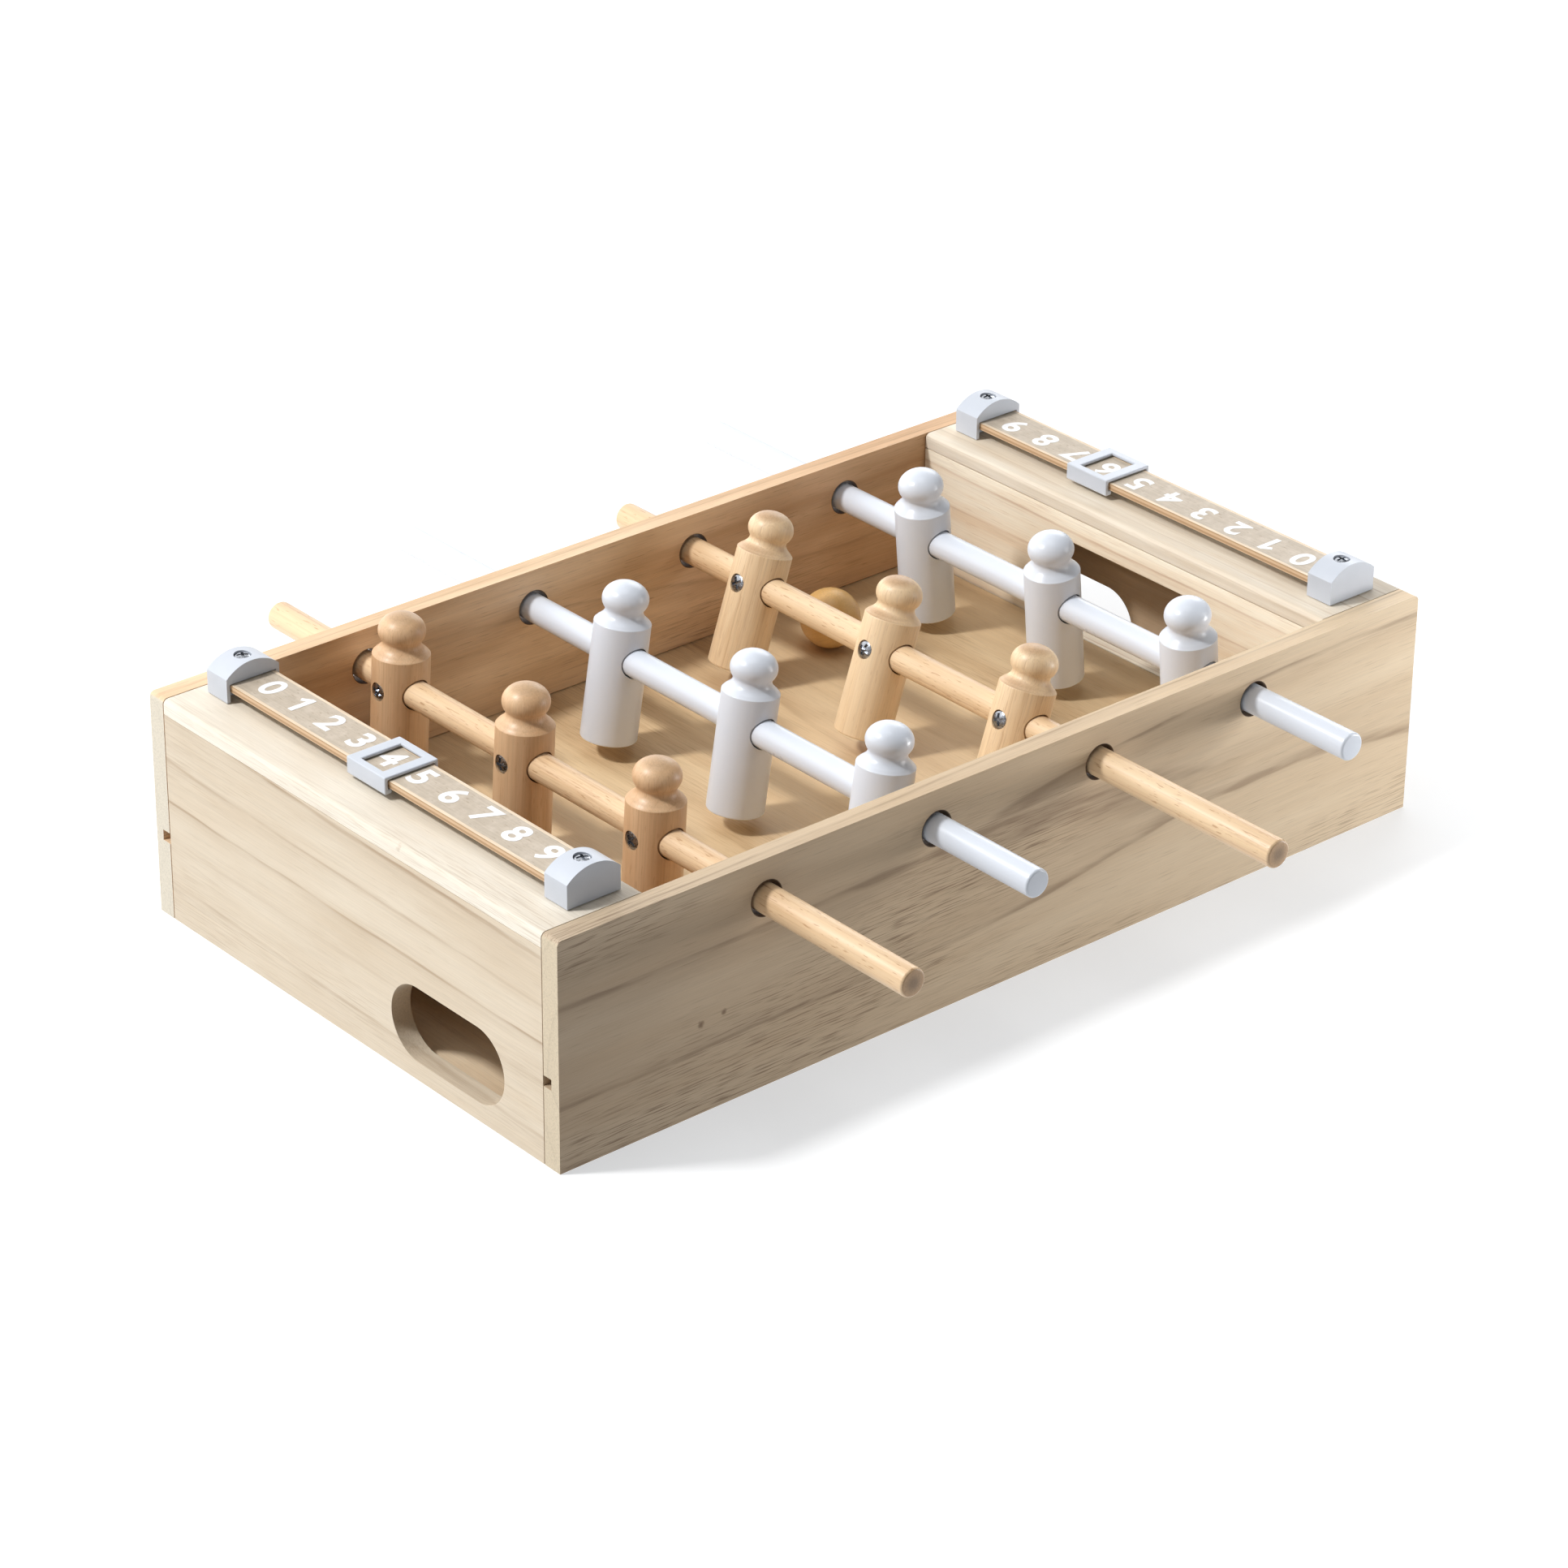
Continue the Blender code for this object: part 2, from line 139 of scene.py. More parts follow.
class Nodes:
    """A node tree, with short ways to add to it."""

    def __init__(self, tree):
        self.tree = tree

    def add(self, kind, output=0, settings=(), **inputs):
        """Adds a node; inputs are sockets or values, keyed by name with _ for a space."""
        node = self.tree.nodes.new("ShaderNode" + kind)
        for key, value in dict(settings).items():
            setattr(node, key, value)
        for key, value in inputs.items():
            self.feed(node.inputs[key.replace("_", " ")], value)
        return node.outputs[output]

    def feed(self, socket, value):
        if isinstance(value, bpy.types.NodeSocket):
            self.tree.links.new(value, socket)
        else:
            socket.default_value = value

    def math(self, operation, *values):
        node = self.tree.nodes.new("ShaderNodeMath")
        node.operation = operation
        for socket, value in zip(node.inputs, values):
            self.feed(socket, value)
        return node.outputs[0]

    def split(self, vector):
        node = self.tree.nodes.new("ShaderNodeSeparateXYZ")
        self.tree.links.new(vector, node.inputs[0])
        return node.outputs

    def length(self, first, second):
        """The length of a flat vector with these two parts."""
        squares = [self.math("MULTIPLY", part, part) for part in (first, second)]
        return self.math("SQRT", self.math("ADD", *squares))


class Shader(Nodes):
    """A new material's node tree.

    own_space reads each piece's own coordinates from its "own" attribute, for meshes that
    were turned after they were made; otherwise the object's coordinates are used.
    """

    def __init__(self, name, own_space=False):
        self.material = bpy.data.materials.new(name)
        self.material.use_nodes = True
        super().__init__(self.material.node_tree)
        self.surface = self.tree.nodes["Principled BSDF"]
        self.coordinates = self.tree.nodes.new("ShaderNodeTexCoord")
        self.space = self.coordinates.outputs["Object"]
        if own_space:
            self.space = self.add("Attribute", "Vector", {"attribute_name": "own"})

    def noise(self, vector, scale, detail=2.0, roughness=0.5):
        return self.add("TexNoise", Vector=vector, Scale=scale, Detail=detail, Roughness=roughness)

    def ramp(self, value, *stops):
        """A colour ramp; each stop is (position, grey) or (position, colour)."""
        node = self.tree.nodes.new("ShaderNodeValToRGB")
        elements = node.color_ramp.elements
        while len(elements) < len(stops):
            elements.new(0.5)
        for element, (position, colour) in zip(elements, stops):
            element.position = position
            grey = not hasattr(colour, "__len__")
            element.color = (colour, colour, colour, 1) if grey else (*colour, 1)
        self.feed(node.inputs[0], value)
        return node.outputs[0]

    def mix(self, share, first, second, blend="MIX"):
        node = self.tree.nodes.new("ShaderNodeMix")
        node.data_type = "RGBA"
        node.blend_type = blend
        self.feed(node.inputs[0], share)
        for index, value in ((6, first), (7, second)):
            colour = value if isinstance(value, bpy.types.NodeSocket) else (*value, 1)
            self.feed(node.inputs[index], colour)
        return node.outputs[2]

    def stretched(self, along, squeeze, shift):
        """The coordinates with the grain's axis first, squeezed along it, and shifted."""
        order = {"X": "XYZ", "Y": "YZX", "Z": "ZXY"}[along]
        parts = self.split(self.space)
        x, y, z = (self.math("ADD", parts[letter], step) for letter, step in zip(order, shift))
        return self.add("CombineXYZ", X=self.math("MULTIPLY", x, squeeze), Y=y, Z=z)

    def facing(self, axis):
        """How squarely the surface faces along an axis, 0 to 1, either way."""
        return self.math("ABSOLUTE", self.split(self.coordinates.outputs["Normal"])[axis])

    def squarely(self, axis):
        """1 where the surface faces along an axis, and 0 where it clearly doesn't."""
        return self.ramp(self.facing(axis), (0.75, 0.0), (0.93, 1.0))

    def near(self, place, radius):
        """1 at a place, fading to 0 at a ragged rim."""
        away = self.tree.nodes.new("ShaderNodeVectorMath")
        away.operation = "DISTANCE"
        self.tree.links.new(self.space, away.inputs[0])
        away.inputs[1].default_value = place
        ragged = self.noise(self.space, 900.0, detail=2.0)
        share = self.math("MULTIPLY_ADD", away.outputs["Value"], 1 / radius, -0.4)
        return self.ramp(self.math("MULTIPLY_ADD", ragged, 0.8, share), (0.35, 1.0), (1.0, 0.0))

    def drilled(self, x, z, radius):
        """1 inside a hole drilled along Y, and 0 outside it."""
        parts = self.split(self.space)
        away = [self.math("SUBTRACT", parts["X"], x), self.math("SUBTRACT", parts["Z"], z)]
        return self.math("LESS_THAN", self.length(*away), radius)

    def bump(self, height, strength, distance):
        normal = self.add("Bump", Strength=strength, Distance=distance, Height=height)
        self.tree.links.new(normal, self.surface.inputs["Normal"])

    def finish(self, colour, roughness, **sockets):
        self.feed(self.surface.inputs["Base Color"], colour)
        self.feed(self.surface.inputs["Roughness"], roughness)
        for key, value in sockets.items():
            self.feed(self.surface.inputs[key.replace("_", " ")], value)
        return self.material


# ---------------------------------------------------------------- materials


WOOD = {
    "curve": 0.12,
    "ripple": 0.0010,
    "mottle": 45.0,
    "mottle_squeeze": 0.38,
    "streaks": 0.0,
    "flecks": 0.3,
    "fleck_size": 2600.0,
    "fleck_squeeze": 0.045,
    "core": 0.0,
    "knots": (),
    "painted_shade_ramp": (),
    "outside": None,
    "edges": None,
    "holes": (),
    "polish": 0.56,
    "coat": 0.0,
}


class Wood(Shader):
    """The layers of solid wood, whose grain runs along one axis."""

    def __init__(self, name, along, shift, own_space, look):
        super().__init__(name, own_space)
        self.along = along
        self.shift = shift
        self.look = look
        self.across = self.split(self.stretched(along, 1.0, (0, 0, 0)))

    def grain(self, squeeze):
        return self.stretched(self.along, squeeze, self.shift)

    def late_wood(self):
        """1 on the rings' dark edges, which are dashed and of uneven strength."""
        look = self.look
        stray = self.noise(self.grain(look["curve"]), 16.0, detail=1.5, roughness=0.4)
        ripple = self.noise(self.grain(0.25), 120.0, detail=1.0)
        offsets = [self.math("SUBTRACT", self.across[i], look["pith"][i - 1]) for i in (1, 2)]
        radius = self.math("MULTIPLY_ADD", stray, look["wander"], self.length(*offsets))
        radius = self.math("MULTIPLY_ADD", ripple, look["ripple"], radius)
        rings = self.math("DIVIDE", radius, look["spacing"])
        late = self.ramp(self.math("FRACT", rings), (0.0, 0.25), (0.05, 0.0), (0.62, 0.03),
                         (0.90, 0.30), (0.955, 1.0), (0.98, 1.0), (1.0, 0.25))
        number = self.math("FLOOR", rings)
        uneven = self.add("TexWhiteNoise", settings={"noise_dimensions": "1D"}, W=number)
        late = self.math("MULTIPLY", late, self.ramp(uneven, (0.0, 0.15), (1.0, 1.0)))
        dashes = self.noise(self.grain(0.10), 330.0, detail=2.0)
        late = self.math("MULTIPLY", late, self.ramp(dashes, (0.36, 0.40), (0.58, 1.0)))
        return self.math("MULTIPLY", late, look["lines"])

    def mottled(self):
        """Clouds of the light and the dark wood, drawn out along the grain."""
        look = self.look
        clouds = self.noise(self.grain(look["mottle_squeeze"]), look["mottle"], 4.0, 0.62)
        return self.mix(self.ramp(clouds, (0.34, 0.0), (0.68, 1.0)), look["light"], look["dark"])

    def streaks(self):
        """1 on fine dark streaks, which come in clusters."""
        cluster = self.noise(self.grain(0.22), 24.0, detail=3.0)
        fine = self.noise(self.grain(0.032), 2300.0, detail=3.0)
        streak = self.ramp(fine, (0.50, 0.0), (0.66, 1.0))
        gate = self.ramp(cluster, (0.49, 0.05), (0.62, 1.0))
        return self.math("MULTIPLY", self.math("MULTIPLY", streak, gate), self.look["streaks"])

    def flecks(self):
        """1 on small short flecks."""
        small = self.grain(self.look["fleck_squeeze"])
        return self.ramp(self.noise(small, self.look["fleck_size"], 1.0), (0.64, 0.0), (0.73, 1.0))

    def board_tone(self, colour):
        """The colour with painted shade that only some case boards have: along the board, on its
        outer face, on the faces towards X.
        """
        look = self.look
        # Painted shade: the colour darkens slowly along the board, by the given stops.
        if look["painted_shade_ramp"]:
            reach = self.math("MULTIPLY_ADD", self.across[0], 1 / CASE_LENGTH, 0.5)
            colour = self.mix(1.0, colour, self.ramp(reach, *look["painted_shade_ramp"]), "MULTIPLY")
        # Painted shade on the face towards +Y.
        if look["outside"]:
            outward = self.split(self.coordinates.outputs["Normal"])["Y"]
            outer = self.math("GREATER_THAN", outward, 0.5)
            colour = self.mix(outer, colour, self.mix(1.0, colour, look["outside"], "MULTIPLY"))
        # Painted shade on the faces towards X.
        if look["edges"]:
            colour = self.mix(self.squarely("X"), colour, look["edges"])
        return colour

    def end_grain(self, late, porous):
        """The colour of the end faces: porous, ringed and sometimes dark in the middle."""
        ends = self.look["ends"]
        darker = [0.62 * value for value in ends]
        darkest = [0.45 * value for value in ends]
        colour = self.mix(self.ramp(porous, (0.42, 0.0), (0.70, 0.45)), ends, darker)
        colour = self.mix(self.math("MULTIPLY", late, 0.5), colour, darker)
        core = self.look["core"]
        if core:
            off_axis = self.length(self.across[1], self.across[2])
            reach = self.math("DIVIDE", off_axis, DOWEL_CORE)
            colour = self.mix(self.ramp(reach, (0.25, core), (0.9, 0.0)), colour, darkest)
        return colour


def wood(name, along, shift, own_space=False, **look):
    """Solid wood: clouds, rings round a pith line, fine streaks, flecks and end grain.

    light and dark are the colours of the clouds, line that of the rings' edges, streaks,
    flecks and knots, and ends that of the end grain. pith is the pith line's place across the
    grain, spacing the rings' spacing, wander and ripple how far they stray slowly and quickly,
    and lines, streaks and flecks how strongly each shows. mottle and fleck_size are the scales
    of the clouds and flecks. curve, mottle_squeeze and fleck_squeeze are below 1 where the
    figure is drawn out along the grain. knots are (place, radius) pairs, painted_shade_ramp the
    stops of painted shade that changes slowly along a case board, outside what the face towards
    +Y is multiplied by as painted shade, edges the colour painted on the faces towards X as
    shade, holes the (x, z) of drilled holes whose walls get painted shade, and core darkens the
    middle of the end faces. polish is the roughness, and coat the clear coat's weight.
    """
    look = {**WOOD, **look}
    shader = Wood(name, along, shift, own_space, look)
    late = shader.late_wood()
    streak = shader.streaks()
    fibre = shader.noise(shader.grain(0.015), 2200.0, detail=2.0)
    fleck = shader.flecks()
    colour = shader.mix(late, shader.mottled(), look["line"])
    colour = shader.mix(streak, colour, look["line"])
    shade = shader.ramp(fibre, (0.28, 0.91), (0.66, 1.0))
    colour = shader.mix(1.0, colour, shade, "MULTIPLY")
    colour = shader.mix(shader.math("MULTIPLY", fleck, look["flecks"]), colour, look["line"])
    for place, size in look["knots"]:
        spot = shader.math("MULTIPLY", shader.near(place, size), 0.8)
        colour = shader.mix(spot, colour, look["line"])
    colour = shader.board_tone(colour)
    cut = shader.squarely(along)
    porous = shader.noise(shader.grain(1.0), 1700.0, detail=3.0, roughness=0.6)
    colour = shader.mix(cut, colour, shader.end_grain(late, porous))
    # Painted shade on the walls of the drilled rod holes, reaching a little past their rims.
    for x, z in look["holes"]:
        shaded_hole = shader.math("MULTIPLY", shader.drilled(x, z, ROD_HOLE_RADIUS + HOLE_SHADE_REACH), 0.9)
        colour = shader.mix(shaded_hole, colour, HOLE_SHADE_COLOUR)

    height = shader.math("MULTIPLY_ADD", fleck, -0.6, fibre)
    height = shader.math("MULTIPLY_ADD", streak, -0.5, height)
    height = shader.math("MULTIPLY_ADD", shader.math("MULTIPLY", porous, cut), 1.5, height)
    shader.bump(height, 0.22, 0.0002)
    polish = look["polish"]
    rough = shader.ramp(fibre, (0.2, polish - 0.06), (0.8, polish + 0.08))
    return shader.finish(colour, rough, Specular_IOR_Level=0.35, Coat_Weight=look["coat"],
                         Coat_Roughness=0.35)


FRONT = {
    "light": (0.790, 0.635, 0.445),
    "dark": (0.690, 0.525, 0.345),
    "line": (0.230, 0.140, 0.080),
    "ends": (0.590, 0.495, 0.355),
    "pith": (-0.165, 0.028),
    "spacing": 0.0105,
    "wander": 0.050,
    "lines": 0.85,
    "mottle": 50.0,
    "mottle_squeeze": 0.10,
    "streaks": 0.75,
    "flecks": 0.30,
    "fleck_squeeze": 0.030,
    "knots": (((-0.1219, -0.1, 0.0300), 0.0015), ((-0.1132, -0.1, 0.0310), 0.0012)),
    # Painted shade: the front board darkens towards its -X end.
    "painted_shade_ramp": ((0.0, (0.73, 0.72, 0.73)), (0.4, (0.87, 0.84, 0.81)), (0.8, (1.0, 1.0, 1.0))),
}
REAR = {
    "light": (0.94, 0.71, 0.475),
    "dark": (0.71, 0.48, 0.285),
    "line": (0.30, 0.17, 0.09),
    "ends": (0.66, 0.60, 0.49),
    "pith": (0.235, 0.030),
    "spacing": 0.0070,
    "wander": 0.050,
    "lines": 0.60,
    "mottle": 90.0,
    "mottle_squeeze": 0.07,
    "streaks": 0.60,
    "flecks": 0.35,
    # Painted shade: the rear board darkens towards its +X end.
    "painted_shade_ramp": ((0.45, (1.0, 1.0, 1.0)), (0.8, (0.80, 0.69, 0.60))),
    # Painted shade: the rear board's outer face, towards +Y, is multiplied darker and cooler.
    "outside": (0.72, 0.78, 0.86),
}
ENDS = {
    "light": (0.672, 0.580, 0.452),
    "dark": (0.610, 0.502, 0.368),
    "line": (0.360, 0.245, 0.145),
    "ends": (0.56, 0.43, 0.29),
    "pith": (-0.090, -0.260),
    "spacing": 0.0120,
    "wander": 0.022,
    "ripple": 0.0016,
    "lines": 0.85,
    "streaks": 0.30,
    "flecks": 0.15,
    "mottle": 60.0,
    "mottle_squeeze": 0.22,
}
RIGHT_END = {**ENDS, "light": (0.62, 0.47, 0.32), "dark": (0.53, 0.37, 0.23)}
LEFT_PLANK = {
    **ENDS,
    "light": (0.82, 0.765, 0.665),
    "dark": (0.74, 0.655, 0.535),
    "pith": (-0.12, -0.185),
    "spacing": 0.0110,
    "lines": 0.55,
    "knots": (((-0.1726, -0.0262, 0.0745), 0.0017),),
}
RIGHT_PLANK = {
    **ENDS,
    "light": (0.87, 0.800, 0.685),
    "dark": (0.74, 0.625, 0.480),
    "line": (0.42, 0.28, 0.16),
    "pith": (-0.02, 0.080),
    "spacing": 0.0042,
    "wander": 0.010,
    "lines": 0.85,
    "mottle": 110.0,
    "mottle_squeeze": 0.08,
    "streaks": 0.50,
}
GOAL = {
    "light": (0.94, 0.87, 0.72),
    "dark": (0.82, 0.66, 0.48),
    "line": (0.46, 0.25, 0.14),
    "ends": (0.56, 0.43, 0.29),
    "pith": (0.020, 0.170),
    "spacing": 0.0075,
    "wander": 0.018,
    "lines": 0.75,
    "mottle": 110.0,
    "mottle_squeeze": 0.09,
    "streaks": 0.55,
    "flecks": 0.25,
}
PITCH = {
    "light": (0.78, 0.59, 0.360),
    "dark": (0.62, 0.43, 0.240),
    "line": (0.36, 0.21, 0.100),
    "ends": (0.45, 0.30, 0.17),
    # Painted shade: the playfield's faces towards X are painted near black, where they sit in
    # shade.
    "edges": (0.09, 0.05, 0.03),
    "pith": (-0.24, 0.10),
    "spacing": 0.0120,
    "wander": 0.050,
    "lines": 0.45,
    "mottle": 70.0,
    "mottle_squeeze": 0.12,
    "streaks": 0.45,
    "flecks": 0.35,
    "polish": 0.48,
}
BEECH = {
    "light": (0.860, 0.640, 0.405),
    "dark": (0.740, 0.500, 0.285),
    "line": (0.430, 0.210, 0.090),
    "ends": (0.560, 0.360, 0.200),
    "spacing": 0.0036,
    "wander": 0.006,
    "ripple": 0.0004,
    "mottle": 120.0,
    "mottle_squeeze": 0.12,
    "lines": 0.38,
    "streaks": 0.30,
    "flecks": 0.60,
    "fleck_size": 1700.0,
    "fleck_squeeze": 0.14,
    "polish": 0.42,
    "coat": 0.3,
}
PEG = {**BEECH, "flecks": 0.22, "streaks": 0.20, "lines": 0.30}
# Lit and shaded copies of one beech: rod 1's players darker as painted shade, rod 3's lighter as
# painted light.
LIT_AND_SHADED_PEGS = {
    1: {**PEG, "light": (0.800, 0.545, 0.325), "dark": (0.680, 0.420, 0.225)},
    3: {**PEG, "light": (0.920, 0.715, 0.470), "dark": (0.810, 0.580, 0.345)},
}
# Painted shade: a darker copy of the goal wood for the left goal wall, in the shaded chamber
# behind the exit.
SHADED_LEFT_GOAL = {**GOAL, "light": (0.56, 0.37, 0.21), "dark": (0.44, 0.27, 0.14)}
BASE = {**ENDS, "light": (0.84, 0.68, 0.48), "dark": (0.72, 0.54, 0.35)}
BALL = {
    "light": (0.84, 0.55, 0.235),
    "dark": (0.78, 0.47, 0.170),
    "line": (0.50, 0.25, 0.08),
    "ends": (0.70, 0.42, 0.15),
    "pith": (0.12, 0.33),
    "spacing": 0.0025,
    "wander": 0.004,
    "ripple": 0.0003,
    "mottle": 120.0,
    "lines": 0.40,
    "streaks": 0.20,
    "polish": 0.36,
    "coat": 0.3,
}


def white_gloss(name, along, own_space=False):
    """White enamel over wood: the grain telegraphs through as a faint relief."""
    shader = Shader(name, own_space)
    grain = shader.noise(shader.stretched(along, 0.04, (0.3, 0.1, 0.2)), 900.0, detail=2.0)
    orange_peel = shader.noise(shader.space, 420.0, detail=1.0)
    height = shader.math("MULTIPLY_ADD", orange_peel, 0.5, grain)
    shader.bump(height, 0.12, 0.0002)
    cloud = shader.noise(shader.space, 60.0, detail=3.0)
    colour = shader.ramp(cloud, (0.3, (0.702, 0.748, 0.825)), (0.7, (0.712, 0.757, 0.833)))
    rough = shader.ramp(cloud, (0.3, 0.27), (0.7, 0.30))
    return shader.finish(colour, rough, Specular_IOR_Level=0.5)


def moulded_plastic(name):
    shader = Shader(name)
    texture = shader.noise(shader.space, 3800.0, detail=2.0)
    shader.bump(texture, 0.08, 0.0001)
    cloud = shader.noise(shader.space, 90.0, detail=2.0)
    colour = shader.ramp(cloud, (0.3, (0.550, 0.590, 0.655)), (0.7, (0.588, 0.622, 0.688)))
    rough = shader.ramp(cloud, (0.3, 0.32), (0.7, 0.42))
    return shader.finish(colour, rough, Specular_IOR_Level=0.45)


def printed_strip(name, half_width):
    """A taupe print on thin plywood: bare margins along both edges, three plies on the sides."""
    shader = Shader(name)
    parts = shader.split(shader.space)
    fibre = shader.noise(shader.stretched("Y", 0.05, (0.0, 0.2, 0.4)), 1500.0, detail=3.0)
    speck = shader.noise(shader.stretched("Y", 0.30, (0.1, 0.0, 0.3)), 1500.0, detail=2.0)
    blotch = shader.noise(shader.space, 320.0, detail=3.0)
    bare = shader.ramp(fibre, (0.3, (0.66, 0.52, 0.37)), (0.7, (0.80, 0.68, 0.52)))
    taupe = shader.ramp(fibre, (0.3, (0.440, 0.370, 0.288)), (0.7, (0.530, 0.450, 0.355)))
    taupe = shader.mix(shader.ramp(blotch, (0.45, 0.0), (0.75, 0.6)), taupe, (0.62, 0.54, 0.45))
    taupe = shader.mix(shader.ramp(speck, (0.62, 0.0), (0.74, 0.6)), taupe, (0.30, 0.22, 0.15))
    away = shader.math("ABSOLUTE", parts["X"])
    away = shader.math("MULTIPLY_ADD", fibre, PRINT_RAGGED, away)
    printed = shader.math("LESS_THAN", away, half_width - PRINT_MARGIN)
    top = shader.mix(printed, bare, taupe)
    height = shader.math("FRACT", shader.math("DIVIDE", parts["Z"], PLY_PERIOD))
    plies = shader.ramp(height, (0.0, 0.0), (0.45, 0.0), (0.52, 1.0), (0.95, 1.0), (1.0, 0.0))
    layered = shader.mix(plies, (0.74, 0.56, 0.38), (0.52, 0.35, 0.21))
    layered = shader.mix(0.4, layered, bare, "MULTIPLY")
    upward = shader.math("GREATER_THAN", shader.facing("Z"), 0.7)
    colour = shader.mix(upward, layered, top)
    shader.bump(fibre, 0.12, 0.0002)
    return shader.finish(colour, 0.5, Specular_IOR_Level=0.35)


def digit_ink(name):
    shader = Shader(name)
    cover = shader.noise(shader.space, 700.0, detail=3.0)
    colour = shader.ramp(cover, (0.3, (0.80, 0.80, 0.81)), (0.6, (0.90, 0.90, 0.91)))
    shader.bump(cover, 0.1, 0.0001)
    return shader.finish(colour, 0.45, Specular_IOR_Level=0.4)


def dark_zinc(name, own_space=False):
    shader = Shader(name, own_space)
    patches = shader.noise(shader.space, 1600.0, detail=3.0)
    colour = shader.ramp(patches, (0.3, (0.24, 0.26, 0.29)), (0.7, (0.52, 0.54, 0.58)))
    rough = shader.ramp(patches, (0.3, 0.18), (0.7, 0.38))
    shader.bump(patches, 0.15, 0.0001)
    return shader.finish(colour, rough, Metallic=1.0)


# ---------------------------------------------------------------- mesh helpers


def mesh_from(bm, name):
    mesh = bpy.data.meshes.new(name)
    bm.to_mesh(mesh)
    bm.free()
    return mesh


def box_mesh(name, low, high, round_axis=None, radius=0.0, segments=8, top_only=False):
    """A box from corner to corner; the edges along round_axis can be rounded."""
    low = Vector(low)
    high = Vector(high)
    bm = bmesh.new()
    bmesh.ops.create_cube(bm, size=1.0)
    bmesh.ops.scale(bm, vec=high - low, verts=bm.verts)
    bmesh.ops.translate(bm, vec=(low + high) / 2, verts=bm.verts)
    if round_axis is not None:
        along = Vector([float(letter == round_axis) for letter in "XYZ"])
        middle_z = (low.z + high.z) / 2
        edges = [
            edge
            for edge in bm.edges
            if abs((edge.verts[0].co - edge.verts[1].co).normalized().dot(along)) > 0.9
            and not (top_only and edge.verts[0].co.z < middle_z)
        ]
        bmesh.ops.bevel(
            bm, geom=edges, offset=radius, segments=segments, profile=0.5, affect="EDGES"
        )
    return mesh_from(bm, name)


def cylinder_mesh(name, radius, length, axis, sides=TURNED_STEPS):
    turns = {"X": (90, "Y"), "Y": (90, "X"), "Z": (0, "Z")}
    degrees, about = turns[axis]
    bm = bmesh.new()
    bmesh.ops.create_cone(
        bm,
        cap_ends=True,
        segments=sides,
        radius1=radius,
        radius2=radius,
        depth=length,
        matrix=Matrix.Rotation(math.radians(degrees), 4, about),
    )
    return mesh_from(bm, name)


def turned_mesh(name, profile, steps=TURNED_STEPS):
    """A profile of (radius, z) points, top to bottom, swept round Z."""
    bm = bmesh.new()
    points = [bm.verts.new((radius, 0, z)) for radius, z in profile]
    edges = [bm.edges.new(pair) for pair in zip(points, points[1:])]
    bmesh.ops.spin(
        bm,
        geom=points + edges,
        axis=(0, 0, 1),
        cent=(0, 0, 0),
        angle=math.tau,
        steps=steps,
        use_merge=True,
    )
    bmesh.ops.remove_doubles(bm, verts=bm.verts, dist=1e-6)
    bmesh.ops.recalc_face_normals(bm, faces=bm.faces)
    return mesh_from(bm, name)


def arc(centre, radius, start_deg, end_deg, points, squash=1.0):
    """Points of a profile on an arc; squash scales its height."""
    made = []
    for i in range(points):
        angle = math.radians(start_deg + (end_deg - start_deg) * i / (points - 1))
        r = centre[0] + radius * math.cos(angle)
        made.append((max(r, 0.0), centre[1] + radius * squash * math.sin(angle)))
    return made


def carve(mesh, cutters, operation="DIFFERENCE"):
    """The mesh after cutting each (mesh, place) out of it, or keeping what they share."""
    scene = bpy.context.scene.collection
    obj = bpy.data.objects.new("carving", mesh)
    scene.objects.link(obj)
    tools = []
    for cutter, place in cutters:
        tool = bpy.data.objects.new("tool", cutter)
        tool.location = place
        scene.objects.link(tool)
        tools.append(tool)
        modifier = obj.modifiers.new("cut", "BOOLEAN")
        modifier.operation = operation
        modifier.object = tool
        modifier.solver = "EXACT"
    carved = applied(obj)
    for tool in tools:
        bpy.data.objects.remove(tool)
    carved.name = mesh.name
    return carved


def applied(obj):
    """The object's mesh with its modifiers applied; the object is removed."""
    bpy.context.view_layer.update()
    graph = bpy.context.evaluated_depsgraph_get()
    mesh = bpy.data.meshes.new_from_object(obj.evaluated_get(graph))
    bpy.data.objects.remove(obj)
    return mesh


def soften(obj, width=EASED_EDGE, segments=3, angle=40):
    """Rounds the sharp edges and keeps the flats flat in the shading."""
    bevel = obj.modifiers.new("eased_edges", "BEVEL")
    bevel.width = width
    bevel.segments = segments
    bevel.limit_method = "ANGLE"
    bevel.angle_limit = math.radians(angle)
    bevel.harden_normals = True
    obj.data.shade_smooth()
    obj.data.set_sharp_from_angle(angle=math.radians(angle))


def turned(mesh, matrix, name):
    """A turned copy of a mesh that keeps its own coordinates in the attribute "own"."""
    copy = mesh.copy()
    copy.name = name
    own = copy.attributes.new("own", "FLOAT_VECTOR", "POINT")
    for vertex, value in zip(copy.vertices, own.data):
        value.vector = vertex.co
    copy.transform(matrix)
    return copy


def piece(name, mesh, material, body, nodes, place=(0, 0, 0)):
    """A piece that rides on a body, stands for CAD nodes and takes the material it is given."""
    obj = bpy.data.objects.new(name, mesh)
    bpy.context.scene.collection.objects.link(obj)
    obj.location = place
    mesh.materials.clear()
    mesh.materials.append(material)
    mesh.shade_smooth()
    mesh.set_sharp_from_angle(angle=math.radians(SHARP_DEG))
    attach(obj, body)
    if nodes:
        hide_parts(*nodes)
    return obj


def centre_of(node):
    low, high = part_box(node)
    return (low + high) / 2


# ---------------------------------------------------------------- the case


